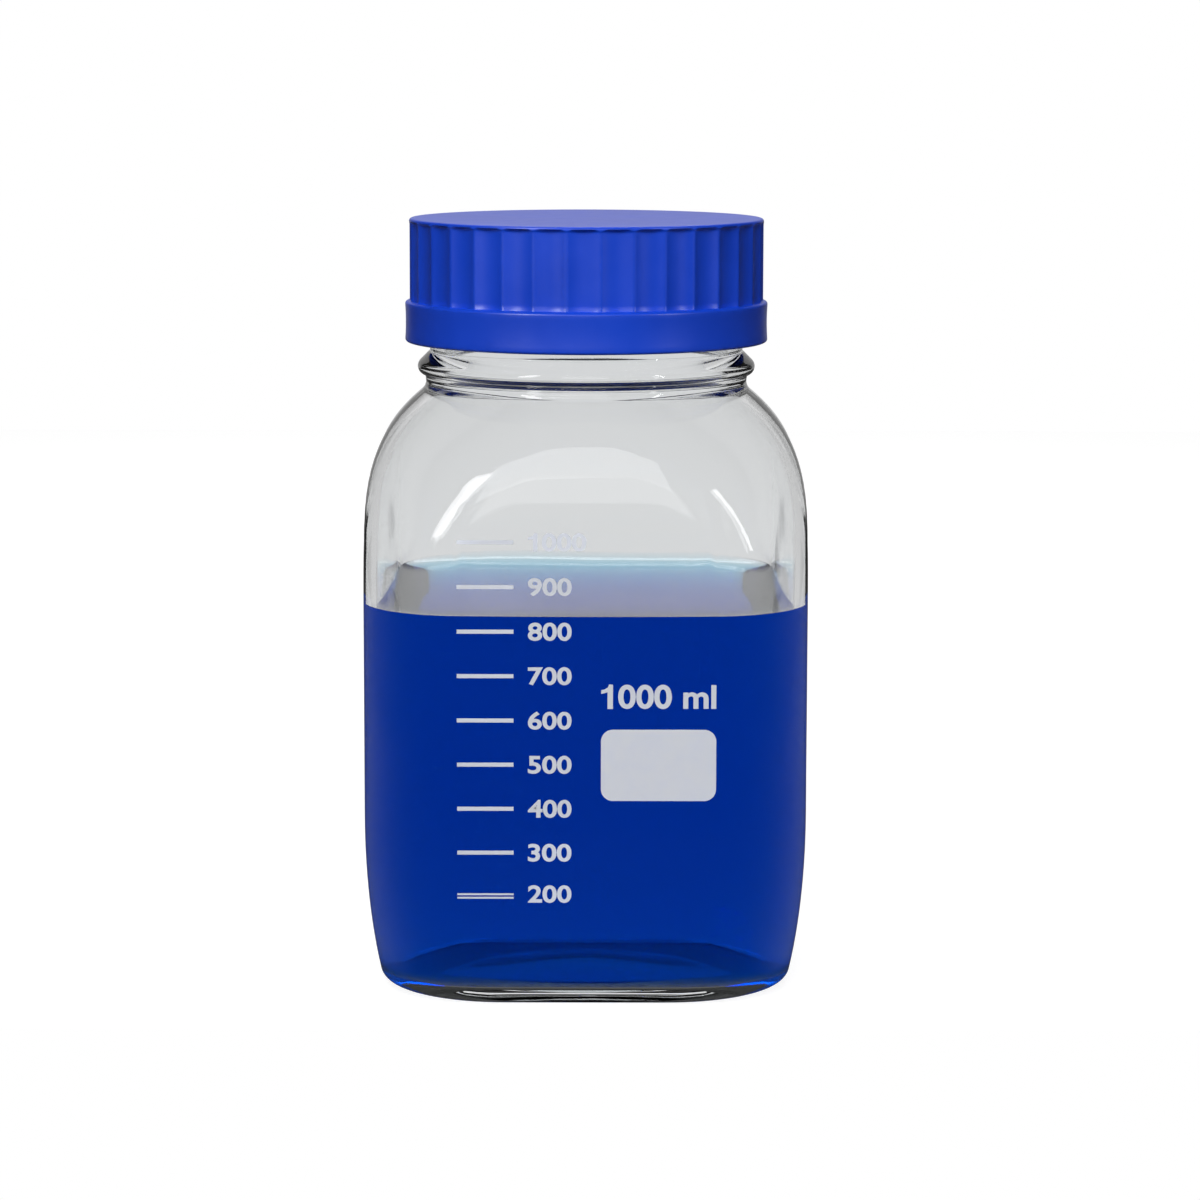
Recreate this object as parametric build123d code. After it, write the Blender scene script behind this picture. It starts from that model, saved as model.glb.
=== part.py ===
from build123d import *

import os
from math import atan2, ceil, cos, pi, radians, sin, sqrt

# Square wide-mouth media bottle with a multi-start screw cap, in millimetres.
# It stands on z = 0 about the z axis, and its printed face looks towards -Y.

# Glass body
body_width = 105.5  # across two opposite flat faces
corner_radius = 22.0  # upright corners, outside
wall = 3.1
floor_thickness = 3.8  # beside the push-up
flat_top = 108.5  # height where the middle of a face starts to lean in
corner_lead = 18.5  # the corners start to lean in this far below that
shoulder_rise = 34.7  # from the top of the flat faces to the neck root
face_curve = 3.1  # power of the lean along the middle of a face
corner_curve = 2.85  # power of the lean along a corner
taper_height = 43.0  # below this the faces draw in slowly towards the foot
taper_radius = 220.0
foot_radius = 5.5  # outside radius between face and base
inner_foot_radius = 7.0
base_corner_radius = 26.0  # the corners grow rounder towards the base
base_corner_height = 24.0  # below this height
push_up_width = 62.0  # raised middle of the base, across its circle
push_up_rise = 2.4

# Neck
shoulder_root_radius = 38.5  # where the shoulder curve would meet the neck
root_fillet = 3.0
root_fillet_turn = 48.0  # degrees of its arc
groove_radius = 38.9  # between shoulder and transfer bead
bead_radius = 40.9
bead_height = 4.6  # bead centre above the top of the shoulder
neck_radius = 37.9  # thread root
neck_bore_radius = 34.5
neck_height = 34.5  # shoulder top to lip
lip_round = 0.9
ring_seat_depth = 6.4  # slimmer top of the neck that carries the pouring ring
ring_seat_step = 1.1

# Thread, shared by neck and cap
thread_starts = 4
thread_lead = 16.0  # rise in one whole turn
thread_height = 1.85  # neck ridge, root to crest
thread_root_width = 2.0
thread_crest_width = 1.0
neck_thread_turn = 225.0  # degrees that one ridge runs round the neck
cap_thread_turn = 120.0
thread_below_seat = 1.6  # highest ridge centre under the ring seat
thread_flank_gap = 0.3  # closed cap, ridge flank to ridge flank
thread_crest_gap = 0.5  # crest to the opposite root

# Pouring ring on the lip
ring_thickness = 1.1
ring_flange = 1.2
ring_inner_skirt = 3.0  # how far it reaches down inside the bore
ring_grip_clearance = 0.05
ring_skirt_gap = 0.3  # under the ring, to the step below its seat

# Cap
cap_top_thickness = 2.6
cap_wall = 2.65
seal_thickness = 2.0
seal_edge_gap = 0.45  # seal disc to cap bore
seal_edge_slope = 0.25
skirt_gap = 2.15  # below the closed cap, to the top of the bead's slope
skirt_height = 9.8
skirt_step = 1.0  # how far the skirt stands out past the grip
skirt_waist = 0.15
skirt_bore_step = 1.1  # wider mouth of the cap
skirt_bore_depth = 2.6
flute_count = 34
flute_depth = 0.9
flute_phase = 4.5  # degrees that the closed cap's flutes are turned from the printed face
flute_end_slope = 1.2  # how far the sloping top end of a flute reaches down
rim_height = 1.1  # unfluted rim under the cap's top face
rim_round = 0.7

# Filling and print
fill_share = 0.83  # of the volume at the highest mark, 1000 ml
enamel_thickness = 0.08
highest_mark_lift = 2.65  # highest mark above the top of the flat faces
first_mark = 2  # marks stand at tenths of the volume at the highest mark
last_mark = 10
mark_inset = 0.8  # from the left edge of the flat of the face
mark_length = 13.2
mark_width = 0.95
double_mark_gap = 0.4  # between the two thin bars of the lowest mark
double_mark_width = 0.45
panel_inset = 0.2  # from the right edge of the flat of the face
panel_width = 26.9
panel_height = 16.9
panel_corner_radius = 2.8
panel_middle_share = 0.499  # the panel is centred at this filling

# Derived sizes
half_width = body_width / 2
flat_half = half_width - corner_radius
corner_start = flat_top - corner_lead
shoulder_top = flat_top + shoulder_rise
bead_centre = shoulder_top + bead_height
bead_round = bead_radius - groove_radius
bead_slope_top = bead_centre + bead_round * (sin(pi / 4) + cos(pi / 4)) + groove_radius - neck_radius
lip_height = shoulder_top + neck_height
ring_seat_radius = neck_radius - ring_seat_step
ring_seat_bottom = lip_height - ring_seat_depth
ring_skirt_length = ring_seat_depth - ring_seat_step - ring_skirt_gap
neck_crest_radius = neck_radius + thread_height
cap_bore_radius = neck_crest_radius + thread_crest_gap
cap_crest_radius = neck_radius + thread_crest_gap
grip_radius = cap_bore_radius + cap_wall
skirt_radius = grip_radius + skirt_step
seal_bottom = lip_height + ring_flange
cap_ceiling = seal_bottom + seal_thickness
cap_top = cap_ceiling + cap_top_thickness
cap_bottom = bead_slope_top + skirt_gap
skirt_top = cap_bottom + skirt_height
neck_thread_start = ring_seat_bottom - thread_below_seat - thread_lead * neck_thread_turn / 360

OVERLAP = 0.4  # how far fused features reach into each other
FOOT_STEPS = 6  # sections of the foot round, and of the taper
SHOULDER_STEPS = (0.1, 0.2, 0.3, 0.4, 0.5, 0.6, 0.7, 0.8, 0.87, 0.94, 0.995)  # closer towards the neck
BORE_START = 0.8  # share of the shoulder rise at which the straight neck bore begins
SHORT_OF_ROUND = 0.1  # a rounded square's corners stay this much smaller than a full circle
BEAD_STEP = 27  # degrees between the points of the bead's round
THREAD_STEP = 15  # degrees between the sections of a ridge
THREAD_FADE = 2  # steps over which a ridge rises at its ends
THREAD_END = 0.1  # share of its height that a ridge has at its very ends
EDGE_EASE = 1 - sqrt(0.5)  # a round's middle, in from the corner, as a share of its radius


def foot_profile(inset, bottom, round_radius):
    """(distance in from the wall, height) points, up the foot round and then the slow taper.

    The wall stands in by inset from the outside, and the two arcs share a tangent.
    """
    slow = taper_radius - inset
    rise = taper_height - bottom - round_radius
    centre = slow - sqrt((slow - round_radius) ** 2 - rise**2)
    turn = atan2(rise, slow - centre)
    points = []
    for step in range(FOOT_STEPS):
        angle = pi / 2 + (turn - pi / 2) * step / FOOT_STEPS
        points.append((centre - round_radius * cos(angle), bottom + round_radius * (1 - sin(angle))))
    for step in range(FOOT_STEPS + 1):
        angle = turn * (1 - step / FOOT_STEPS)
        points.append((slow * (1 - cos(angle)), taper_height - slow * sin(angle)))
    return points


def body_outline(inset, inward, height):
    """Rounded square outline at a height, whose corners grow rounder towards the base."""
    half = half_width - inset - inward
    low = max(0.0, 1 - height / base_corner_height)
    corner = corner_radius + (base_corner_radius - corner_radius) * low**2 - inset
    return Pos(0, 0, height) * RectangleRounded(2 * half, 2 * half, corner)


def lower_body(inset, bottom, round_radius, ruled=False):
    """Rounded square column with a rounded foot and tapered sides, up to where the corners lean in."""
    foot = [body_outline(inset, *point) for point in foot_profile(inset, bottom, round_radius)]
    column = extrude(body_outline(inset, 0, taper_height), amount=corner_start - taper_height)
    return loft(foot, ruled=ruled) + column


def shoulder_section(height, inset, root_radius):
    """Half width and corner radius of the shoulder at a height, square below and round above."""
    half = half_width - inset
    corner = corner_radius - inset
    diagonal = half * sqrt(2) - corner * (sqrt(2) - 1)
    face_part = max(0.0, (height - flat_top) / shoulder_rise)
    corner_part = max(0.0, (height - corner_start) / (shoulder_top - corner_start))
    face_reach = half - (half - root_radius) * face_part**face_curve
    corner_reach = diagonal - (diagonal - root_radius) * corner_part**corner_curve
    radius = (face_reach * sqrt(2) - corner_reach) / (sqrt(2) - 1)
    return face_reach, min(radius, face_reach - SHORT_OF_ROUND)


def shoulder(inset, root_radius, ruled=False):
    """Loft from the square body up to the neck, ended just short of the root circle."""
    heights = [corner_start, corner_start + 1]
    heights += [corner_start + (shoulder_top - corner_start) * step for step in SHOULDER_STEPS]
    sections = []
    for height in heights:
        half, radius = shoulder_section(height, inset, root_radius)
        sections.append(Pos(0, 0, height) * RectangleRounded(2 * half, 2 * half, radius))
    return loft(sections, ruled=ruled)


def revolved(points):
    """Solid of revolution about the z axis inside a closed line through (radius, height) points."""
    return revolve(Plane.XZ * make_face(Polyline(*points, close=True)), axis=Axis.Z)


def broken_edge(side_radius, height, size, up=1):
    """Two short slopes that break an outside edge, from the side of a ring to its end face."""
    return [
        (side_radius, height - up * size),
        (side_radius - EDGE_EASE * size, height - up * EDGE_EASE * size),
        (side_radius - size, height),
    ]


def thread_ridge(root, crest, start_height, start_angle, turn):
    """One helical ridge that fades in and out, between a root and a crest radius."""
    stations = ceil(turn / THREAD_STEP)
    sunk = root - OVERLAP if crest > root else root + OVERLAP
    sections = []
    for station in range(stations + 1):
        part = turn * station / stations
        angle = radians(start_angle + part)
        fade = max(THREAD_END, min(1.0, station / THREAD_FADE, (stations - station) / THREAD_FADE))
        tip = root + (crest - root) * fade
        outward = Vector(cos(angle), sin(angle), 0)
        plane = Plane(
            origin=(0, 0, start_height + thread_lead * part / 360),
            x_dir=outward,
            z_dir=outward.cross(Vector(0, 0, 1)),
        )
        outline = Polyline(
            (sunk, -thread_root_width / 2),
            (tip, -thread_crest_width / 2),
            (tip, thread_crest_width / 2),
            (sunk, thread_root_width / 2),
            close=True,
        )
        sections.append(plane * make_face(outline))
    return loft(sections)


def thread(root, crest, start_height, start_angle, turn):
    ridges = Part()
    for start in range(thread_starts):
        ridges += thread_ridge(root, crest, start_height, start_angle + 360 * start / thread_starts, turn)
    return ridges


def neck_blank():
    """Neck with root fillet, groove, transfer bead, thread root and ring seat, not yet bored."""
    end_turn = radians(root_fillet_turn)
    end_radius = groove_radius + root_fillet * (1 - cos(end_turn))
    bite = (half_width - end_radius - SHORT_OF_ROUND) / (half_width - shoulder_root_radius)
    end_height = flat_top + shoulder_rise * bite ** (1 / face_curve)
    fillet_height = end_height + root_fillet * sin(end_turn)
    sunk_height = end_height - 3 * OVERLAP
    points = [(0, sunk_height), (end_radius, sunk_height)]
    for step in (1, 2 / 3, 1 / 3, 0):
        lean = end_turn * step
        points.append((
            groove_radius + root_fillet * (1 - cos(lean)),
            fillet_height - root_fillet * sin(lean),
        ))
    for degrees in range(-90, 46, BEAD_STEP):
        turn = radians(degrees)
        points.append((groove_radius + bead_round * cos(turn), bead_centre + bead_round * sin(turn)))
    points += [
        (neck_radius, bead_slope_top),
        (neck_radius, ring_seat_bottom),
        (ring_seat_radius, ring_seat_bottom + ring_seat_step),
        *broken_edge(ring_seat_radius, lip_height, lip_round),
        (0, lip_height),
    ]
    return revolved(points)


def push_up(height):
    """Low cone with a flat top under the raised middle of the base or floor."""
    rim = push_up_width / 2
    top = height + push_up_rise
    return revolved([(0, height), (rim, height), (rim / 2, top), (0, top)])


def bottle_cavity():
    room = lower_body(wall, floor_thickness, inner_foot_radius, ruled=True)
    room += shoulder(wall, neck_bore_radius - 3 * OVERLAP, ruled=True)
    bore_start = flat_top + BORE_START * shoulder_rise
    bore_length = lip_height - bore_start + OVERLAP
    room += Pos(0, 0, bore_start + bore_length / 2) * Cylinder(neck_bore_radius, bore_length)
    return room - push_up(floor_thickness)


def body_blank(swell=0):
    """Body and shoulder as a solid block, swollen by a print's thickness for cutting the print."""
    return lower_body(-swell, 0, foot_radius) + shoulder(-swell, shoulder_root_radius + swell)


def glass_bottle(cavity, body):
    blank = body + neck_blank()
    blank += thread(neck_radius, neck_crest_radius, neck_thread_start, 0, neck_thread_turn)
    glass = blank - cavity - push_up(0)
    inner_lip = glass.edges().filter_by(GeomType.CIRCLE).group_by(Axis.Z)[-1].sort_by(SortBy.RADIUS)[0]
    return chamfer(inner_lip, lip_round / 2)


def below(solid, height):
    return split(solid, bisect_by=Plane.XY.offset(height), keep=Keep.BOTTOM)


def filling(cavity, share):
    """Height and volume of a filling, as a share of what the bottle holds at its highest mark.

    Heights keep the even spacing of the straight part of the body.
    """
    half = half_width - wall
    corner = corner_radius - wall
    area = 4 * half**2 - (4 - pi) * corner**2
    tapered = below(cavity, taper_height).volume
    full = tapered + area * (flat_top + highest_mark_lift - taper_height)
    return taper_height + (share * full - tapered) / area, share * full


def filling_height(cavity, share):
    return filling(cavity, share)[0]


def bar(height, width):
    """Slab through the printed face that cuts one graduation bar from the print skin."""
    middle = mark_inset + mark_length / 2 - flat_half
    return Pos(middle, -half_width, height) * Box(mark_length, 2 * corner_radius, width)


def graduation_marks(cavity, skin):
    bars = Part()
    for tenth in range(first_mark + 1, last_mark + 1):
        bars += bar(filling_height(cavity, tenth / 10), mark_width)
    lowest = filling_height(cavity, first_mark / 10)
    offset = (double_mark_gap + double_mark_width) / 2
    for side in (-1, 1):
        bars += bar(lowest + side * offset, double_mark_width)
    return skin & bars


def writing_panel(cavity, skin):
    across = flat_half - panel_inset - panel_width / 2
    centre = (across, 0, filling_height(cavity, panel_middle_share))
    outline = RectangleRounded(panel_width, panel_height, panel_corner_radius)
    plane = Plane(origin=centre, x_dir=(1, 0, 0), z_dir=(0, -1, 0))
    return skin & extrude(plane * outline, amount=body_width)


def pouring_ring():
    """Soft ring pushed over the lip, with a drip edge inside and outside."""
    outer = ring_seat_radius + ring_grip_clearance + ring_thickness
    grip = ring_seat_radius + ring_grip_clearance
    inner = neck_bore_radius - ring_grip_clearance
    bore = inner - ring_thickness
    return revolved([
        (bore, seal_bottom),
        (outer, seal_bottom),
        (outer, lip_height - ring_skirt_length + ring_thickness / 2),
        (outer - ring_thickness / 2, lip_height - ring_skirt_length),
        (grip, lip_height - ring_skirt_length),
        (grip, lip_height),
        (inner, lip_height),
        (inner, lip_height - ring_inner_skirt),
        (bore, lip_height - ring_inner_skirt + ring_thickness / 2),
    ])


def seal_disc():
    radius = cap_bore_radius - seal_edge_gap
    disc = Pos(0, 0, seal_bottom + seal_thickness / 2) * Cylinder(radius, seal_thickness)
    return chamfer(disc.edges().filter_by(GeomType.CIRCLE), seal_edge_slope)


def cap_shell():
    """Cap blank: skirt with a slight waist, grip, eased rim, stepped bore."""
    mouth_radius = cap_bore_radius + skirt_bore_step
    return revolved([
        (mouth_radius, cap_bottom),
        *reversed(broken_edge(skirt_radius, cap_bottom, rim_round, up=-1)),
        (skirt_radius - skirt_waist, cap_bottom + skirt_height / 2),
        *broken_edge(skirt_radius, skirt_top, rim_round),
        (grip_radius, skirt_top),
        *broken_edge(grip_radius, cap_top, rim_round),
        (0, cap_top),
        (0, cap_ceiling),
        (cap_bore_radius, cap_ceiling),
        (cap_bore_radius, cap_bottom + skirt_bore_depth + skirt_bore_step),
        (mouth_radius, cap_bottom + skirt_bore_depth),
    ])


def flute_cutter():
    """Column with a sloping top whose circle meets its neighbours at the grip's outside."""
    half_pitch = pi / flute_count
    chord = grip_radius * sin(half_pitch)
    sagitta = grip_radius * cos(half_pitch) - (grip_radius - flute_depth)
    radius = (chord**2 + sagitta**2) / (2 * sagitta)
    length = cap_top - rim_height - skirt_top
    column = Cylinder(radius, length, align=(Align.CENTER, Align.CENTER, Align.MIN))
    column = chamfer(column.edges().sort_by(Axis.Z)[-1], flute_end_slope)
    return Pos(grip_radius - flute_depth + radius, 0, skirt_top) * column


def screw_cap():
    cutter = flute_cutter()
    grip = cap_shell()
    for index in range(flute_count):
        grip -= Rot(0, 0, flute_phase + 360 * index / flute_count) * cutter
    flank = (thread_root_width + thread_crest_width) / 2 + thread_flank_gap
    start = neck_thread_start - flank
    quarter = neck_thread_turn / 4
    rise = thread_lead * quarter / 360
    grip += thread(cap_bore_radius, cap_crest_radius, start + rise, quarter, cap_thread_turn)
    return grip


def liquid(cavity):
    return below(cavity, filling_height(cavity, fill_share))


def main():
    os.makedirs("parts", exist_ok=True)
    cavity = bottle_cavity()
    body = body_blank()
    skin = body_blank(enamel_thickness) - body
    full_height, full_volume = filling(cavity, 1)
    nodes = {
        "glass_bottle": glass_bottle(cavity, body),
        "liquid": liquid(cavity),
        "graduation_marks": graduation_marks(cavity, skin),
        "writing_panel": writing_panel(cavity, skin),
        "pouring_ring": pouring_ring(),
        "seal_disc": seal_disc(),
        "screw_cap": screw_cap(),
    }
    for name, shape in nodes.items():
        export_step(shape, f"parts/{name}.step")
    print("highest mark at", round(full_height, 2), "mm, for", round(full_volume / 1000, 1), "ml")
    print("filled to", round(filling_height(cavity, fill_share), 2), "mm")
    print("cap top at", round(cap_top, 2), "mm, cap bottom at", round(cap_bottom, 2), "mm")


main()
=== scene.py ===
import bpy
import math
import numpy as np
from mathutils import Euler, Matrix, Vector

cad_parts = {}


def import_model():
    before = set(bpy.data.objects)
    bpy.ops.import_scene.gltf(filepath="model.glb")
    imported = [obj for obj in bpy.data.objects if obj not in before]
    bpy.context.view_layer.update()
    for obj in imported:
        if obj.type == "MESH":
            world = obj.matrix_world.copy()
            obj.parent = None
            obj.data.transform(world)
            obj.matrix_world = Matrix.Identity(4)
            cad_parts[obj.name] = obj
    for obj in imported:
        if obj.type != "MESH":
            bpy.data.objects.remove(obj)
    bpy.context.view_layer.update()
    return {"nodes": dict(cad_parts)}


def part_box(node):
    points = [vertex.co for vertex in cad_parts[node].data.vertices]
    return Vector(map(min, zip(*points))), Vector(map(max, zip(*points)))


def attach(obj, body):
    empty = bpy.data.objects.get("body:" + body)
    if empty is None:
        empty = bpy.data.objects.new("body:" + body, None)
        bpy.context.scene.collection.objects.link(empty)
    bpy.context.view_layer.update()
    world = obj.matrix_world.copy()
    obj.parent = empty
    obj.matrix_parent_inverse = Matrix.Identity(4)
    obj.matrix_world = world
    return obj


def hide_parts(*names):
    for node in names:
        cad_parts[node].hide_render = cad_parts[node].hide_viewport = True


# Square media bottle of clear glass, with blue liquid and a blue screw cap.
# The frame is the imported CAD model; lengths are in metres, and the printed face looks towards -Y.

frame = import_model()
SHARED = bpy.context.scene.collection

MM = 0.001
glass_low, glass_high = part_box("glass_bottle")
liquid_low, liquid_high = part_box("liquid")
cap_low, cap_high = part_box("screw_cap")
marks_low, marks_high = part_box("graduation_marks")
panel_low, panel_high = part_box("writing_panel")

# Glass body, as in the CAD source. Radii and reaches are measured from the bottle's axis.
HALF = (glass_high.x - glass_low.x) / 2
CORNER = 22.0 * MM
WALL = 3.1 * MM
FLOOR = liquid_low.z
FLAT_TOP = 108.5 * MM  # where the middle of a face starts to lean in
CORNER_START = 90.0 * MM  # where a corner starts to lean in
ROOT_HEIGHT = 143.2 * MM
ROOT_RADIUS = 38.5 * MM
INNER_ROOT_RADIUS = 33.3 * MM
FACE_CURVE = 3.1
CORNER_CURVE = 2.85
TAPER_HEIGHT = 43.0 * MM  # below it the faces draw in towards the foot
TAPER_RADIUS = 220.0 * MM
FOOT_RADIUS = 5.5 * MM
INNER_FOOT_RADIUS = 4.0 * MM  # smaller than in the CAD source, so the liquid comes nearer to the foot
BASE_CORNER = 26.0 * MM
BASE_CORNER_HEIGHT = 24.0 * MM
PUSH_UP_RADIUS = 31.0 * MM
PUSH_UP_RISE = 2.4 * MM
WAVE = 0.12 * MM  # uneven thickness of the blown wall

# Neck
BORE = 34.5 * MM
BORE_BLEND = 0.8 * MM  # softness of the step from shoulder to bore
GROOVE = 38.9 * MM
BEAD = 40.9 * MM
BEAD_HEIGHT = 147.8 * MM
BEAD_SLOPE = 0.8 * MM
BEAD_SLOPE_TOP = 151.63 * MM
NECK = 37.9 * MM
LIP = glass_high.z
RING_SEAT = 36.8 * MM
RING_SEAT_BOTTOM = 171.3 * MM
ROOT_FILLET = 3.0 * MM
ROOT_FILLET_TURN = math.radians(48)
LIP_ROUND = 0.9 * MM

# Thread, with angles in degrees
STARTS = 4
LEAD = 16.0 * MM
RIDGE = 1.85 * MM
RIDGE_ROOT = 2.0 * MM
RIDGE_CREST = 1.0 * MM
RIDGE_FADE = 25.0
NECK_TURN = 225.0
CAP_TURN = 120.0
THREAD_START = 159.7 * MM
FLANK_GAP = 0.3 * MM

# Liquid
BITE = 0.15 * MM  # into the wall, so that no air lies between glass and liquid
CAPILLARY = 2.4 * MM  # over which the meniscus falls off
CLIMB = 1.2 * MM  # of the liquid's edge up the wall, at the two sides
CLIMB_LEAN = 1.15 * MM  # more at the back, and less at the front
MENISCUS = 14.0 * MM  # its width, from the wall to the flat of the surface

# Cap
GRIP = 42.9 * MM
SKIRT = cap_high.x
SKIRT_TOP = 163.58 * MM
SKIRT_WAIST = 0.15 * MM
CEILING = 180.9 * MM
CAP_BORE = 40.25 * MM
CAP_CREST = 38.4 * MM
CAP_MOUTH = CAP_BORE + 1.1 * MM
FLUTES = 34
FLUTE_COLUMNS = 16
FLUTE_DEPTH = 0.9 * MM
FLUTE_PHASE = 4.5
FLUTE_END = 0.9 * MM  # round in which a flute runs out under the rim
RIM = 0.7 * MM  # height of the rim, and the round on the cap's edges

# Enamel print on the face
ENAMEL = 0.08 * MM
FIGURE_HEIGHT = 4.3 * MM
FIGURE_LEFT = -13.4 * MM
FIGURE_WIDTH = 10.2 * MM
LONG_FIGURE_WIDTH = 13.6 * MM
LOWEST_FIGURE_RISE = 0.5 * MM
CAPACITY_HEIGHT = 5.75 * MM
CAPACITY_WIDTH = 26.8 * MM
CAPACITY_STEP = 4.54  # where the capacity stands, in steps of the scale above the lowest mark
BAR_WIDTH = 0.95 * MM
DOUBLE_BAR_WIDTH = 1.3 * MM


# ---------------------------------------------------------------- mesh helpers

def rounded_square(angles, half, corner):
    """Distance from the axis to a rounded square, along each angle."""
    turn = np.abs((angles + math.pi / 4) % (math.pi / 2) - math.pi / 4)
    centre = half - corner
    cos, sin = np.cos(turn), np.sin(turn)
    reach = half / cos
    on_corner = sin * half > cos * centre
    inside = np.maximum(corner**2 - centre**2 * (cos - sin) ** 2, 0)
    return np.where(on_corner, centre * (cos + sin) + np.sqrt(inside), reach)


def body_angles():
    """Column angles, closer together round the four corners."""
    corner_start, corner_middle = math.radians(30), math.radians(45)
    flat = np.linspace(0, corner_start, 12, endpoint=False)
    corner = np.linspace(corner_start, corner_middle, 24, endpoint=False)
    eighth = np.concatenate([flat, corner])
    quarter = np.concatenate([eighth, math.pi / 2 - np.append(eighth[1:], math.pi / 4)[::-1]])
    return np.concatenate([quarter + math.pi / 2 * side for side in range(4)])


def soft_maximum(values, least, soft):
    """The larger of the values and the least, with the step between them rounded."""
    return least + soft * np.logaddexp(0, (values - least) / soft)


def ring(angles, radius, height):
    """Points at the angles, each at its radius and height, or all at the same ones."""
    radius = np.broadcast_to(radius, angles.shape)
    height = np.broadcast_to(height, angles.shape)
    return np.stack([radius * np.cos(angles), radius * np.sin(angles), height], axis=1)


def closed_mesh(name, rings, bottom, top, second=None):
    """Smooth closed mesh from rings of points, from a bottom pole, round the profile, to a top pole.

    From the ring numbered second on, the faces take the piece's second material.
    """
    columns = len(rings[0])
    points = np.concatenate([[bottom], *rings, [top]])
    faces = []
    for column in range(columns):
        after = (column + 1) % columns
        faces.append((0, 1 + after, 1 + column))
        for row in range(len(rings) - 1):
            low = 1 + row * columns
            high = low + columns
            faces.append((low + column, low + after, high + after, high + column))
        last = 1 + (len(rings) - 1) * columns
        faces.append((last + column, last + after, len(points) - 1))
    mesh = bpy.data.meshes.new(name)
    mesh.from_pydata(points.tolist(), [], faces)
    mesh.polygons.foreach_set("use_smooth", [True] * len(faces))
    if second is not None:
        rows = len(rings) + 1
        one_column = [int(row > second) for row in range(rows)]
        mesh.polygons.foreach_set("material_index", one_column * columns)
    mesh.update()
    piece = bpy.data.objects.new(name, mesh)
    SHARED.objects.link(piece)
    return piece


# ---------------------------------------------------------------- bottle shape

def shoulder_section(height, inset, root_radius):
    """Half width and corner radius of the shoulder, which goes from the square body to the round neck."""
    half = HALF - inset
    corner = CORNER - inset
    diagonal = half * math.sqrt(2) - corner * (math.sqrt(2) - 1)
    face_part = max(0.0, (height - FLAT_TOP) / (ROOT_HEIGHT - FLAT_TOP))
    corner_part = max(0.0, (height - CORNER_START) / (ROOT_HEIGHT - CORNER_START))
    face_reach = half - (half - root_radius) * face_part**FACE_CURVE
    corner_reach = diagonal - (diagonal - root_radius) * corner_part**CORNER_CURVE
    radius = (face_reach * math.sqrt(2) - corner_reach) / (math.sqrt(2) - 1)
    return face_reach, min(radius, face_reach)


def body_corner(height):
    """Outside corner radius, which grows towards the base."""
    low = max(0.0, 1 - height / BASE_CORNER_HEIGHT)
    return CORNER + (BASE_CORNER - CORNER) * low**2


def foot(inset, bottom, round_radius, steps):
    """(inset, height) points up the foot arc and the slow taper, from the base to the upright wall."""
    slow = TAPER_RADIUS - inset
    reach = slow - round_radius
    rise = TAPER_HEIGHT - bottom - round_radius
    centre_in = slow - math.sqrt(reach**2 - rise**2)
    turn = math.atan2(rise, slow - centre_in)
    points = []
    for angle in np.linspace(math.pi / 2, turn, steps):
        inward = centre_in - round_radius * math.cos(angle)
        points.append((inward, bottom + round_radius * (1 - math.sin(angle))))
    for angle in np.linspace(turn, 0, steps)[1:]:
        points.append((slow - slow * math.cos(angle), TAPER_HEIGHT - slow * math.sin(angle)))
    return points


def dome(radius, bottom):
    """Height of the base or floor, which is pushed up in its middle."""
    share = min(1, radius / PUSH_UP_RADIUS)
    return bottom + PUSH_UP_RISE * (0.5 + 0.5 * math.cos(math.pi * share))


def floor_rings(angles, inset, bottom, first_inset, grow=0.0):
    """Rings of the base or floor, from near the axis out to where the foot arc starts."""
    rings = []
    for radius in np.linspace(0.1, 1, 12) * PUSH_UP_RADIUS:
        rings.append(ring(angles, radius, dome(radius, bottom) - grow))
    for part in np.linspace(0, 1, 6)[1:-1]:
        half = PUSH_UP_RADIUS + (HALF - inset - first_inset - PUSH_UP_RADIUS) * part
        corner = PUSH_UP_RADIUS + (body_corner(bottom) - inset - PUSH_UP_RADIUS) * part
        rings.append(ring(angles, rounded_square(angles, half, corner), bottom - grow))
    return rings


def waviness(angles, height, strength):
    """Slow uneven thickness of a blown wall, made of four waves that wind round the bottle."""
    total = 0.0
    waves = ((1.0, 2, 0.071, 0.4), (0.8, 3, -0.113, 2.1), (0.7, 5, 0.19, 1.3), (0.5, 7, -0.23, 4.4))
    for share, crests, winding, phase in waves:
        total += share * np.sin(crests * angles + winding * height / MM + phase)
    return strength * total / sum(share for share, *_ in waves)


def wall_rings(angles, inset, bottom, round_radius, grow=0.0, wave=0.0):
    """Rings up the foot and the upright wall, to the height where the shoulder starts."""
    rings = []
    upright = [(0.0, height) for height in np.linspace(TAPER_HEIGHT, CORNER_START, 14)[1:]]
    for inward, height in foot(inset, bottom, round_radius, 14) + upright:
        reach = rounded_square(angles, HALF - inset - inward, body_corner(height) - inset)
        fade = min(1.0, height / TAPER_HEIGHT)
        reach += grow + waviness(angles, height, wave * fade)
        low = grow * max(0.0, 1 - (height - bottom) / round_radius)
        rings.append(ring(angles, reach, height - low))
    return rings


def thread_ridge(angles, height, root, crest, start_height, start_angle, turn):
    """How far the thread's ridges stand away from their root radius, at each angle of one height."""
    rise = np.zeros_like(angles)
    for start in range(STARTS):
        for lap in (-1, 0, 1):
            run = np.degrees(angles) - start_angle - 360 * start / STARTS + 360 * lap
            middle = start_height + LEAD * run / 360
            off = np.abs(height - middle)
            flank = np.clip((RIDGE_ROOT / 2 - off) / (RIDGE_ROOT / 2 - RIDGE_CREST / 2), 0, 1)
            ends = np.clip(np.minimum(run, turn - run) / RIDGE_FADE, 0, 1)
            rise = np.maximum(rise, flank * ends)
    smooth = rise * rise * (3 - 2 * rise)
    return (crest - root) * smooth


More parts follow.
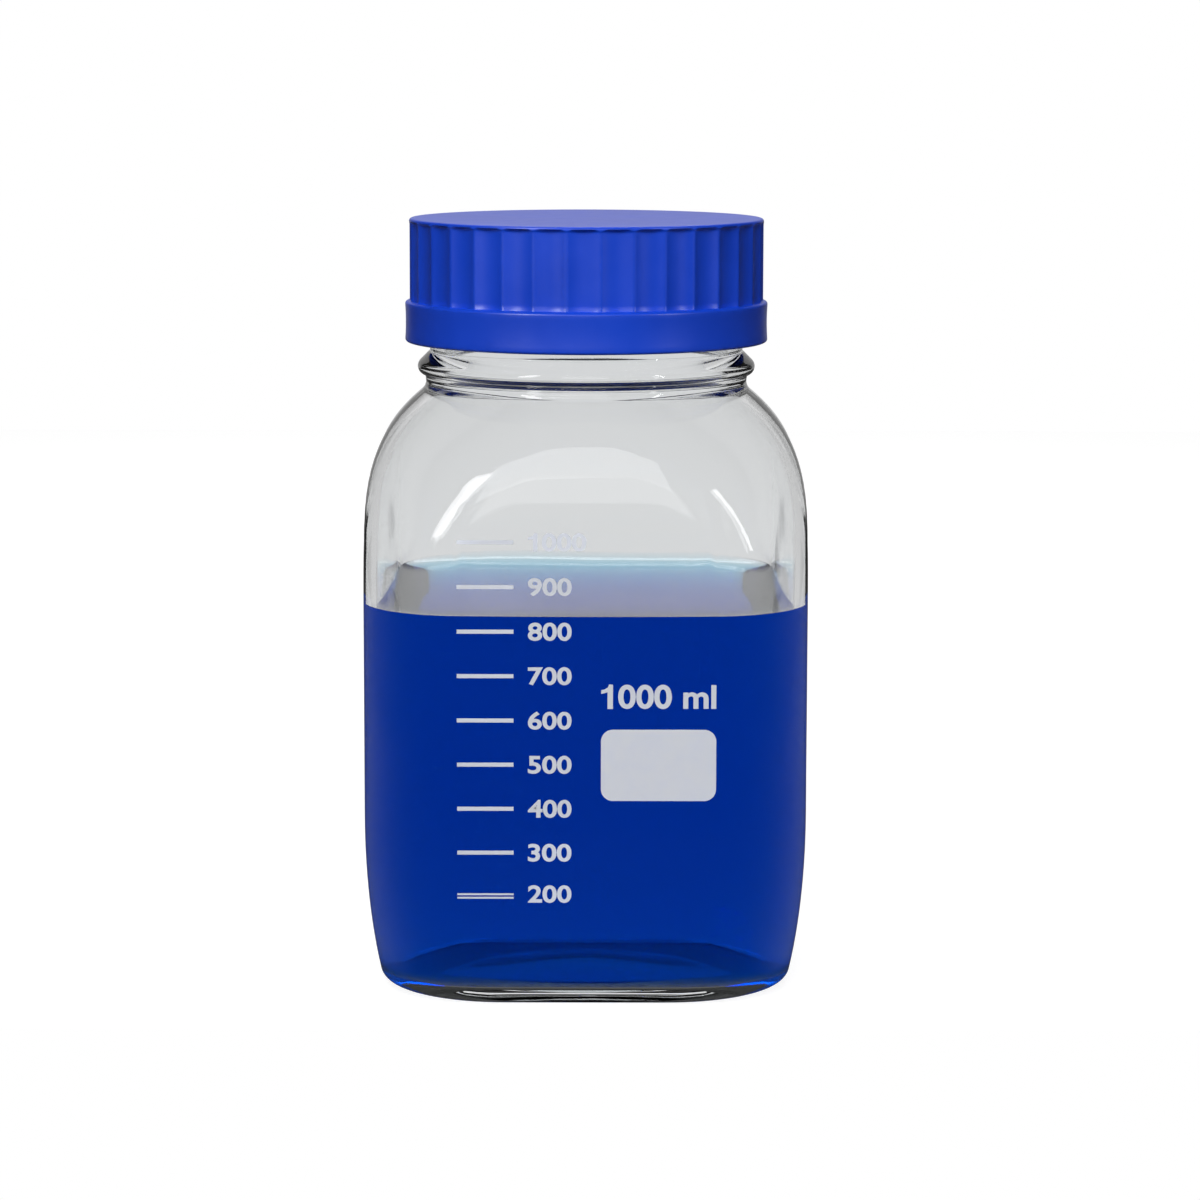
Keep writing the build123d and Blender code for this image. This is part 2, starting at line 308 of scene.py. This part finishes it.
def body_rings(angles):
    """Rings of the base, the upright faces and the shoulder, up to the groove under the bead."""
    foot_start = foot(0, 0, FOOT_RADIUS, 2)[0][0]
    rings = floor_rings(angles, 0, 0, foot_start)
    rings += wall_rings(angles, 0, 0, FOOT_RADIUS)
    end_radius = GROOVE + ROOT_FILLET * (1 - math.cos(ROOT_FILLET_TURN))
    drawn_in = (HALF - end_radius) / (HALF - ROOT_RADIUS)
    end_height = FLAT_TOP + (ROOT_HEIGHT - FLAT_TOP) * drawn_in ** (1 / FACE_CURVE)
    for part in np.linspace(0, 1, 52)[1:]:
        height = CORNER_START + (end_height - CORNER_START) * (1 - (1 - part) ** 1.35)
        half, corner = shoulder_section(height, 0, ROOT_RADIUS)
        rings.append(ring(angles, rounded_square(angles, half, corner), height))
    square = rounded_square(angles, half, corner) - end_radius
    fillet_height = end_height + ROOT_FILLET * math.sin(ROOT_FILLET_TURN)
    for lean in np.linspace(ROOT_FILLET_TURN, 0, 9)[1:]:
        radius = GROOVE + ROOT_FILLET * (1 - math.cos(lean))
        height = fillet_height - ROOT_FILLET * math.sin(lean)
        rings.append(ring(angles, radius + square * (lean / ROOT_FILLET_TURN) ** 2, height))
    return rings


def neck_rings(angles):
    """Rings of the bead, the threaded neck, the seat of the pouring ring and the lip."""
    rings = []
    bead_round = BEAD - GROOVE
    for turn in np.radians(np.linspace(-84, 45, 14)):
        radius = GROOVE + bead_round * math.cos(turn)
        rings.append(ring(angles, radius, BEAD_HEIGHT + bead_round * math.sin(turn)))
    for height in np.linspace(BEAD_SLOPE_TOP - BEAD_SLOPE, BEAD_SLOPE_TOP, 3):
        rings.append(ring(angles, NECK + BEAD_SLOPE_TOP - height, height))
    for height in np.arange(BEAD_SLOPE_TOP + 0.5 * MM, RING_SEAT_BOTTOM, 0.45 * MM):
        ridge = thread_ridge(angles, height, NECK, NECK + RIDGE, THREAD_START, 0, NECK_TURN)
        rings.append(ring(angles, NECK + ridge, height))
    step = NECK - RING_SEAT
    for part in np.linspace(0, 1, 5):
        rings.append(ring(angles, NECK - step * part, RING_SEAT_BOTTOM + step * part))
    for turn in np.linspace(0, math.pi / 2, 8):
        radius = RING_SEAT - LIP_ROUND * (1 - math.cos(turn))
        rings.append(ring(angles, radius, LIP - LIP_ROUND * (1 - math.sin(turn))))
    return rings


def inner_reach(angles, height):
    """Distance from the axis to the inner wall above the straight part, shoulder and bore blended."""
    half, corner = shoulder_section(height, WALL, INNER_ROOT_RADIUS)
    shoulder = rounded_square(angles, half, corner)
    return soft_maximum(shoulder, BORE, BORE_BLEND)


def inner_body_rings(angles, grow=0.0):
    """Rings of the cavity from the floor to where the shoulder starts, grown into the glass."""
    foot_start = foot(WALL, FLOOR, INNER_FOOT_RADIUS, 2)[0][0]
    rings = floor_rings(angles, WALL, FLOOR, foot_start, grow=grow)
    return rings + wall_rings(angles, WALL, FLOOR, INNER_FOOT_RADIUS, grow=grow, wave=WAVE)


def inner_rings(angles):
    """Rings of the cavity, from the floor up to the lip."""
    rings = inner_body_rings(angles)
    for part in np.linspace(0, 1, 44)[1:]:
        height = CORNER_START + (ROOT_HEIGHT + 2 * MM - CORNER_START) * (1 - (1 - part) ** 1.3)
        fade = 1 - 0.6 * part
        reach = inner_reach(angles, height) + waviness(angles, height, WAVE * fade)
        rings.append(ring(angles, reach, height))
    for height in np.linspace(ROOT_HEIGHT + 3 * MM, LIP - LIP_ROUND, 16):
        rings.append(ring(angles, BORE + waviness(angles, height, 0.4 * WAVE), height))
    for turn in np.linspace(0, math.pi / 2, 8)[1:]:
        radius = BORE + LIP_ROUND * (1 - math.cos(turn))
        rings.append(ring(angles, radius, LIP - LIP_ROUND * (1 - math.sin(turn))))
    return rings


def glass_bottle():
    """Bottle whose second material lies on the inside that the liquid wets."""
    angles = body_angles()
    outside = body_rings(angles) + neck_rings(angles)
    inside = inner_rings(angles)[::-1]
    dry = sum(1 for loop in inside if loop[0, 2] > liquid_high.z + CLIMB + CLIMB_LEAN)
    base, floor = (0, 0, dome(0, 0)), (0, 0, dome(0, FLOOR))
    return closed_mesh("bottle_glass", outside + inside, base, floor, len(outside) + dry)


def liquid():
    """Filling that reaches a hair into the wall, with a meniscus at its edge."""
    angles = body_angles()
    surface = liquid_high.z
    rings = inner_body_rings(angles, grow=BITE)
    climb = CLIMB + CLIMB_LEAN * np.sin(angles)
    for height in np.linspace(CORNER_START, surface, 4)[1:]:
        wall = inner_reach(angles, height) + waviness(angles, height, WAVE)
        rings.append(ring(angles, wall + BITE, height))
    for part in (0.3, 0.6, 0.85, 0.96, 1.0):
        rings.append(ring(angles, wall + BITE, surface + climb * part))
    for inward in (0.0, 0.15, 0.4, 0.8, 1.3, 2.0, 2.9, 4.0, 5.5, 7.5, 10.0, MENISCUS / MM):
        gap = inward * MM
        rings.append(ring(angles, wall - gap, surface + climb * math.exp(-gap / CAPILLARY)))
    for part in np.linspace(1, 0, 8)[1:-1]:
        rings.append(ring(angles, (wall - MENISCUS) * part, surface))
    return closed_mesh("blue_liquid", rings, (0, 0, dome(0, FLOOR) - BITE), (0, 0, surface))


# ---------------------------------------------------------------- cap shape

def flute_reach(angles, shrink):
    """Distance from the axis to the fluted grip, with flutes made shallower by shrink."""
    pitch = 2 * math.pi / FLUTES
    off = (angles - math.radians(FLUTE_PHASE) + pitch / 2) % pitch - pitch / 2
    chord = GRIP * math.sin(pitch / 2)
    sagitta = GRIP * math.cos(pitch / 2) - (GRIP - FLUTE_DEPTH)
    radius = (chord**2 + sagitta**2) / (2 * sagitta)
    centre = GRIP - FLUTE_DEPTH + radius
    cut = radius - shrink
    inside = cut**2 - (centre * np.sin(off)) ** 2
    reach = centre * np.cos(off) - np.sqrt(np.maximum(inside, 0))
    reach = np.where(inside > 0, reach, GRIP)
    return 2 * GRIP - soft_maximum(2 * GRIP - reach, GRIP, 0.05 * MM)


def cap_bore_rings(angles, bottom):
    """Rings of the ceiling, the threaded bore and the wider mouth, from the top down."""
    rings = [ring(angles, share * CAP_BORE, CEILING) for share in (0.3, 0.7, 0.995)]
    quarter = NECK_TURN / 4
    start = THREAD_START - (RIDGE_ROOT + RIDGE_CREST) / 2 - FLANK_GAP + LEAD * quarter / 360
    for height in np.arange(CEILING - 0.1 * MM, bottom + 3.8 * MM, -0.5 * MM):
        ridge = thread_ridge(angles, height, CAP_BORE, CAP_CREST, start, quarter, CAP_TURN)
        rings.append(ring(angles, CAP_BORE + ridge, height))
    for radius, rise in ((CAP_BORE, 3.7), (CAP_MOUTH, 2.6), (CAP_MOUTH, 0.3)):
        rings.append(ring(angles, radius, bottom + rise * MM))
    return rings


def skirt_rings(angles, bottom):
    """Rings of the plain skirt, rounded at both edges and drawn in a little between them."""
    rings = []
    for turn in np.linspace(-math.pi / 2, 0, 7):
        radius = SKIRT - RIM * (1 - math.cos(turn))
        rings.append(ring(angles, radius, bottom + RIM * (1 + math.sin(turn))))
    middle = (bottom + SKIRT_TOP) / 2
    for height in np.linspace(bottom + RIM, SKIRT_TOP - RIM, 9)[1:-1]:
        waist = SKIRT_WAIST * (1 - ((height - middle) / (middle - bottom - RIM)) ** 2)
        rings.append(ring(angles, SKIRT - waist, height))
    for turn in np.linspace(0, math.pi / 2, 7):
        radius = SKIRT - RIM * (1 - math.cos(turn))
        rings.append(ring(angles, radius, SKIRT_TOP - RIM * (1 - math.sin(turn))))
    return rings


def grip_rings(angles, top):
    """Rings of the fluted grip, the rim above it and the flat top."""
    full = flute_reach(angles, 0)
    flute_top = top - RIM
    rings = [ring(angles, full + 0.12 * MM, SKIRT_TOP + 0.02 * MM)]
    for height in np.linspace(SKIRT_TOP + 0.2 * MM, flute_top - FLUTE_END, 14):
        rings.append(ring(angles, full, height))
    for up in np.linspace(0, 1, 10)[1:]:
        shrink = FLUTE_END - math.sqrt(max(0.0, 1 - up**2)) * FLUTE_END
        rings.append(ring(angles, flute_reach(angles, shrink), flute_top - FLUTE_END * (1 - up)))
    for turn in np.linspace(0, math.pi / 2, 8):
        radius = GRIP - RIM * (1 - math.cos(turn))
        rings.append(ring(angles, radius, top - RIM * (1 - math.sin(turn))))
    for share in (0.97, 0.9, 0.7, 0.4, 0.1):
        rings.append(ring(angles, GRIP * share, top))
    return rings


def screw_cap():
    """Cap from its ceiling down the bore, round the skirt and up the grip to the top."""
    angles = np.linspace(0, 2 * math.pi, FLUTES * FLUTE_COLUMNS, endpoint=False)
    rings = cap_bore_rings(angles, cap_low.z) + skirt_rings(angles, cap_low.z)
    rings += grip_rings(angles, cap_high.z)
    return closed_mesh("cap_moulding", rings, (0, 0, CEILING), (0, 0, cap_high.z))


# ---------------------------------------------------------------- materials

def material(name, **sockets):
    """Principled material with the named sockets set, and its node tree and shader."""
    made = bpy.data.materials.new(name)
    made.use_nodes = True
    shader = made.node_tree.nodes["Principled BSDF"]
    for socket, value in sockets.items():
        shader.inputs[socket.replace("_", " ")].default_value = value
    return made, made.node_tree, shader


def noise(tree, scale, detail=2.0):
    """Cloudy factor in the piece's own space."""
    place = tree.nodes.new("ShaderNodeTexCoord")
    cloud = tree.nodes.new("ShaderNodeTexNoise")
    cloud.inputs["Scale"].default_value = scale
    cloud.inputs["Detail"].default_value = detail
    tree.links.new(place.outputs["Object"], cloud.inputs["Vector"])
    return cloud.outputs["Fac"]


def tinted(tree, shader, factor, low, high):
    """Colour that drifts between two near shades."""
    ramp = tree.nodes.new("ShaderNodeValToRGB")
    ramp.color_ramp.elements[0].position = 0.35
    ramp.color_ramp.elements[1].position = 0.65
    ramp.color_ramp.elements[0].color = (*low, 1)
    ramp.color_ramp.elements[1].color = (*high, 1)
    tree.links.new(factor, ramp.inputs["Fac"])
    tree.links.new(ramp.outputs["Color"], shader.inputs["Base Color"])


def bumped(tree, shader, factor, distance, strength=1.0):
    """Fine relief in the shading, as deep as the distance."""
    bump = tree.nodes.new("ShaderNodeBump")
    bump.inputs["Distance"].default_value = distance
    bump.inputs["Strength"].default_value = strength
    tree.links.new(factor, bump.inputs["Height"])
    tree.links.new(bump.outputs["Normal"], shader.inputs["Normal"])


def roughened(tree, shader, factor, low, high):
    """Roughness that drifts between two values."""
    spread = tree.nodes.new("ShaderNodeMapRange")
    spread.inputs["To Min"].default_value = low
    spread.inputs["To Max"].default_value = high
    tree.links.new(factor, spread.inputs["Value"])
    tree.links.new(spread.outputs["Result"], shader.inputs["Roughness"])


def absorbing(tree, color, density):
    """Volume that takes up light on its way through."""
    volume = tree.nodes.new("ShaderNodeVolumeAbsorption")
    volume.inputs["Color"].default_value = (*color, 1)
    volume.inputs["Density"].default_value = density
    tree.links.new(volume.outputs["Volume"], tree.nodes["Material Output"].inputs["Volume"])


def glass_material(name, glance):
    """Clear glass, whose mirror strength seen straight on is scaled by glance."""
    made, tree, shader = material(name, Transmission_Weight=1.0, IOR=1.474, Roughness=0.0)
    shader.inputs["Specular Tint"].default_value = (glance, glance, glance, 1)
    tinted(tree, shader, noise(tree, 9), (0.885, 0.895, 0.90), (0.90, 0.908, 0.912))
    bumped(tree, shader, noise(tree, 55), 0.02 * MM)
    return made


def liquid_material():
    made, tree, shader = material("blue_solution", Transmission_Weight=1.0, IOR=1.333, Roughness=0.0)
    shader.inputs["Specular Tint"].default_value = (0, 0, 0, 1)
    tinted(tree, shader, noise(tree, 12), (0.97, 0.985, 1.0), (1.0, 1.0, 1.0))
    absorbing(tree, (0.0, 0.68, 0.909), 107.0)
    return made


def cap_material():
    made, tree, shader = material("polypropylene_blue", IOR=1.49)
    tinted(tree, shader, noise(tree, 60), (0.004, 0.053, 0.59), (0.006, 0.060, 0.64))
    roughened(tree, shader, noise(tree, 240, 3), 0.30, 0.40)
    bumped(tree, shader, noise(tree, 900, 3), 0.03 * MM, 0.5)
    return made


def enamel_material():
    made, tree, shader = material("fired_white_enamel", IOR=1.5, Transmission_Weight=0.22)
    tinted(tree, shader, noise(tree, 260, 2), (0.87, 0.905, 1.0), (0.90, 0.93, 1.0))
    roughened(tree, shader, noise(tree, 400), 0.38, 0.55)
    bumped(tree, shader, noise(tree, 900, 2), 0.005 * MM, 0.4)
    return made


def ring_material():
    made, tree, shader = material("pouring_ring_plastic", IOR=1.49)
    tinted(tree, shader, noise(tree, 70), (0.012, 0.060, 0.46), (0.016, 0.070, 0.52))
    roughened(tree, shader, noise(tree, 300, 3), 0.3, 0.42)
    bumped(tree, shader, noise(tree, 1100, 3), 0.02 * MM, 0.5)
    return made


def silicone_material():
    made, tree, shader = material("seal_silicone", IOR=1.41)
    tinted(tree, shader, noise(tree, 90), (0.62, 0.62, 0.60), (0.70, 0.70, 0.68))
    roughened(tree, shader, noise(tree, 350, 3), 0.5, 0.65)
    bumped(tree, shader, noise(tree, 1300, 3), 0.02 * MM, 0.5)
    return made


def dress(piece, *finishes):
    """Give the piece its materials, and keep which face has which."""
    slots = [polygon.material_index for polygon in piece.data.polygons]
    piece.data.materials.clear()
    for finish in finishes:
        piece.data.materials.append(finish)
    if len(finishes) > 1:
        piece.data.polygons.foreach_set("material_index", slots)


# ---------------------------------------------------------------- printed figures

def face_inset(height):
    """How far the tapered face stands in from the flat above it."""
    drop = max(0.0, TAPER_HEIGHT - height)
    return TAPER_RADIUS - math.sqrt(TAPER_RADIUS**2 - drop**2)


def figure_one(height):
    """Outline of a figure 1 with a flag, from the foot of its stem round."""
    stem = [(0.23, 0), (0.43, 0), (0.43, 1), (0.29, 1)]
    flag = [(0.24, 0.88), (0.13, 0.80), (0, 0.77), (0, 0.62), (0.23, 0.68)]
    return np.array([(x * height, y * height, 0) for x, y in stem + flag])


def flat_words(words):
    """Points and faces of words in one plane. A leading figure 1 is drawn with a flag."""
    text = bpy.data.curves.new("words", "FONT")
    text.body = words.removeprefix("1")
    text.offset = 0.026
    text.resolution_u = 6
    draft = bpy.data.objects.new("words", text)
    SHARED.objects.link(draft)
    bpy.context.view_layer.update()
    graph = bpy.context.evaluated_depsgraph_get()
    flat = bpy.data.meshes.new_from_object(draft.evaluated_get(graph))
    points = np.array([v.co for v in flat.vertices])
    faces = [tuple(p.vertices) for p in flat.polygons]
    bpy.data.objects.remove(draft)
    bpy.data.meshes.remove(flat)
    if words.startswith("1"):
        low, high = points.min(0), points.max(0)
        height = high[1] - low[1]
        one = figure_one(height) + (low[0] - 0.62 * height, low[1], 0)
        faces.append(tuple(range(len(points), len(points) + len(one))))
        points = np.concatenate([points, one])
    return points, faces


def printed(name, words, size_height, centre_x, centre_z, width, finish):
    """Flat enamel figures on the printed face, which leans where it tapers."""
    flat, faces = flat_words(words)
    low, high = flat.min(0), flat.max(0)
    middle = (low + high) / 2
    scale_x = width / (high[0] - low[0])
    scale_y = size_height / (high[1] - low[1])
    lean = math.asin(max(0.0, TAPER_HEIGHT - centre_z) / TAPER_RADIUS)
    points = []
    for depth in (ENAMEL, 0.0):
        for x, y, _ in flat:
            up = (y - middle[1]) * scale_y
            z = centre_z + up * math.cos(lean) - depth * math.sin(lean)
            out = HALF - face_inset(centre_z) + up * math.sin(lean) + depth * math.cos(lean)
            points.append((centre_x + (x - middle[0]) * scale_x, -out, z))
    count = len(flat)
    sides = {(a, b) for face in faces for a, b in zip(face, face[1:] + face[:1])}
    edge = [(a, b) for a, b in sides if (b, a) not in sides]
    solid = faces + [tuple(count + v for v in reversed(face)) for face in faces]
    solid += [(b, a, count + a, count + b) for a, b in sorted(edge)]
    mesh = bpy.data.meshes.new(name)
    mesh.from_pydata(points, [], solid)
    mesh.update()
    piece = bpy.data.objects.new(name, mesh)
    SHARED.objects.link(piece)
    dress(piece, finish)
    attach(piece, "bottle")


def printed_figures(finish):
    """A number beside each mark, 200 to 1000 ml, and the capacity above the panel."""
    lowest = marks_low.z + DOUBLE_BAR_WIDTH / 2
    highest = marks_high.z - BAR_WIDTH / 2
    volumes = range(200, 1001, 100)
    spacing = (highest - lowest) / (len(volumes) - 1)
    for index, volume in enumerate(volumes):
        height = lowest + spacing * index
        if index == 0:
            height += LOWEST_FIGURE_RISE
        width = FIGURE_WIDTH if volume < 1000 else LONG_FIGURE_WIDTH
        middle = FIGURE_LEFT + width / 2
        printed(f"figure_{volume}", str(volume), FIGURE_HEIGHT, middle, height, width, finish)
    panel_middle = (panel_low.x + panel_high.x) / 2
    height = lowest + spacing * CAPACITY_STEP
    printed("capacity_figure", "1000 ml", CAPACITY_HEIGHT, panel_middle, height, CAPACITY_WIDTH, finish)


# ---------------------------------------------------------------- studio

def sheet(name, width, depth, place, turn, finish):
    """Flat sheet of the stage, which is no part of the object."""
    mesh = bpy.data.meshes.new(name)
    w, d = width / 2, depth / 2
    mesh.from_pydata([(-w, -d, 0), (w, -d, 0), (w, d, 0), (-w, d, 0)], [], [(0, 1, 2, 3)])
    mesh.update()
    made = bpy.data.objects.new(name, mesh)
    made.location = place
    made.rotation_euler = turn
    SHARED.objects.link(made)
    dress(made, finish)


def combined(tree, operation, first, second):
    """Result of a math node on two values, each a socket or a plain number."""
    node = tree.nodes.new("ShaderNodeMath")
    node.operation = operation
    for socket, value in zip(node.inputs, (first, second)):
        if isinstance(value, float):
            socket.default_value = value
        else:
            tree.links.new(value, socket)
    return node.outputs["Value"]


def seen_directly(tree, camera, glossy, transmission):
    """How much of the white background camera, mirror and see-through rays meet."""
    path = tree.nodes.new("ShaderNodeLightPath")
    most = combined(tree, "MULTIPLY", path.outputs["Is Camera Ray"], camera)
    for kind, share in (("Glossy", glossy), ("Transmission", transmission)):
        part = combined(tree, "MULTIPLY", path.outputs[f"Is {kind} Ray"], share)
        most = combined(tree, "MAXIMUM", most, part)
    return most


def shaded_foot(tree):
    """Painted shadow on the floor, small under the standing bottle and 1 away from it, for the floor as
    met through the glass.
    """
    place = tree.nodes.new("ShaderNodeNewGeometry")
    size = tree.nodes.new("ShaderNodeVectorMath")
    size.operation = "ABSOLUTE"
    tree.links.new(place.outputs["Position"], size.inputs[0])
    parts = tree.nodes.new("ShaderNodeSeparateXYZ")
    tree.links.new(size.outputs["Vector"], parts.inputs["Vector"])
    fade = tree.nodes.new("ShaderNodeMapRange")
    fade.interpolation_type = "SMOOTHSTEP"
    fade.inputs["From Min"].default_value = 46 * MM
    fade.inputs["From Max"].default_value = 66 * MM
    fade.inputs["To Min"].default_value = 0.15
    reach = combined(tree, "MAXIMUM", parts.outputs["X"], parts.outputs["Y"])
    tree.links.new(reach, fade.inputs["Value"])
    path = tree.nodes.new("ShaderNodeLightPath")
    return combined(tree, "MAXIMUM", fade.outputs["Result"], path.outputs["Is Camera Ray"])


def floor_material():
    """Pale floor that keeps a faint shadow, and is plain white in glass and mirrors but for a painted
    shadow under the bottle.
    """
    made = bpy.data.materials.new("pale_floor")
    made.use_nodes = True
    tree = made.node_tree
    shader = tree.nodes["Principled BSDF"]
    shader.inputs["Base Color"].default_value = (0.9, 0.9, 0.9, 1)
    shader.inputs["Roughness"].default_value = 0.9
    glow = tree.nodes.new("ShaderNodeEmission")
    white = seen_directly(tree, camera=1.25, glossy=0.08, transmission=0.86)
    # painted shadow: the glow that glass and mirrors meet is darker under the bottle
    tree.links.new(combined(tree, "MULTIPLY", white, shaded_foot(tree)), glow.inputs["Strength"])
    mix = tree.nodes.new("ShaderNodeMixShader")
    glowing = seen_directly(tree, camera=0.72, glossy=1.0, transmission=1.0)
    tree.links.new(glowing, mix.inputs["Fac"])
    tree.links.new(shader.outputs["BSDF"], mix.inputs[1])
    tree.links.new(glow.outputs["Emission"], mix.inputs[2])
    tree.links.new(mix.outputs["Shader"], tree.nodes["Material Output"].inputs["Surface"])
    return made


def white_material(name, glossy, transmission):
    """Plain white behind or before the floor, for camera, mirror and see-through rays."""
    made = bpy.data.materials.new(name)
    made.use_nodes = True
    tree = made.node_tree
    tree.nodes.remove(tree.nodes["Principled BSDF"])
    glow = tree.nodes.new("ShaderNodeEmission")
    white = seen_directly(tree, 1.0, glossy, transmission)
    tree.links.new(white, glow.inputs["Strength"])
    tree.links.new(glow.outputs["Emission"], tree.nodes["Material Output"].inputs["Surface"])
    return made


def softbox(name, place, size, power, mirrored=True, lighting=True):
    """Area lamp aimed at the bottle. It can be kept out of mirrors, or only give highlights."""
    data = bpy.data.lights.new(name, "AREA")
    data.shape = "RECTANGLE"
    data.size, data.size_y = size
    data.energy = power
    made = bpy.data.objects.new(name, data)
    made.location = place
    aim = Vector((0, 0, 100 * MM)) - made.location
    made.rotation_euler = aim.to_track_quat("-Z", "Y").to_euler()
    made.visible_glossy = mirrored
    made.visible_diffuse = lighting
    SHARED.objects.link(made)


def world(room):
    """Dark room that the camera sees as white."""
    made = bpy.data.worlds.new("studio")
    made.use_nodes = True
    tree = made.node_tree
    back = tree.nodes["Background"]
    back.inputs["Color"].default_value = (1, 1, 1, 1)
    white = seen_directly(tree, camera=1.0, glossy=0.05, transmission=0.7)
    tree.links.new(combined(tree, "MAXIMUM", white, room), back.inputs["Strength"])
    bpy.context.scene.world = made


def camera():
    """Long lens a metre in front of the bottle, a little above it."""
    data = bpy.data.cameras.new("camera")
    data.lens = 123.7
    data.sensor_width = 36.0
    data.clip_end = 20.0
    made = bpy.data.objects.new("camera", data)
    distance, height = 1.0, 0.2332
    azimuth = math.radians(0.1)
    aim = Vector((3.45 * MM, 0, 90.15 * MM))
    made.location = (distance * math.sin(azimuth), -distance * math.cos(azimuth), height)
    look = (aim - made.location).to_track_quat("-Z", "Y")
    roll = Euler((0, 0, math.radians(0.12))).to_quaternion()
    made.rotation_mode = "QUATERNION"
    made.rotation_quaternion = look @ roll
    SHARED.objects.link(made)
    bpy.context.scene.camera = made


# ---------------------------------------------------------------- put together

glass = glass_bottle()
dress(glass, glass_material("clear_borosilicate", 0.35), glass_material("wetted_borosilicate", 0.0))
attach(glass, "bottle")
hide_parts("glass_bottle")

filling = liquid()
dress(filling, liquid_material())
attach(filling, "bottle")
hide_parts("liquid")

cap = screw_cap()
dress(cap, cap_material())
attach(cap, "cap")
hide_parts("screw_cap")

enamel = enamel_material()
for node in ("graduation_marks", "writing_panel"):
    dress(frame["nodes"][node], enamel)
dress(frame["nodes"]["pouring_ring"], ring_material())
dress(frame["nodes"]["seal_disc"], silicone_material())
printed_figures(enamel)

level = (0, 0, 0)
upright = (math.radians(90), 0, 0)
sheet("floor", 0.8, 1.37, (0, 0.615, 0), level, floor_material())
front_white = white_material("white_floor_front", glossy=0.08, transmission=0.75)
sheet("floor_front", 0.8, 0.18, (0, -0.16, 0), level, front_white)
back_white = white_material("white_backdrop", glossy=0.45, transmission=0.86)
sheet("backdrop", 1.3, 1.1, (0, 1.3, 0.55), upright, back_white)

softbox("key_front", place=(-0.15, -1.25, 1.3), size=(1.3, 0.9), power=28, mirrored=False)
softbox("front_panel", place=(-0.05, -1.6, 0.65), size=(1.0, 0.6), power=5)
softbox("left", place=(-0.8, -0.9, 0.8), size=(0.25, 0.85), power=13, lighting=False)
softbox("right", place=(0.95, -0.7, 0.65), size=(0.08, 0.7), power=4, lighting=False)
softbox("top", place=(0, 0.9, 1.1), size=(0.8, 0.5), power=6)
world(0.05)
camera()
bpy.context.scene.view_settings.view_transform = "Standard"
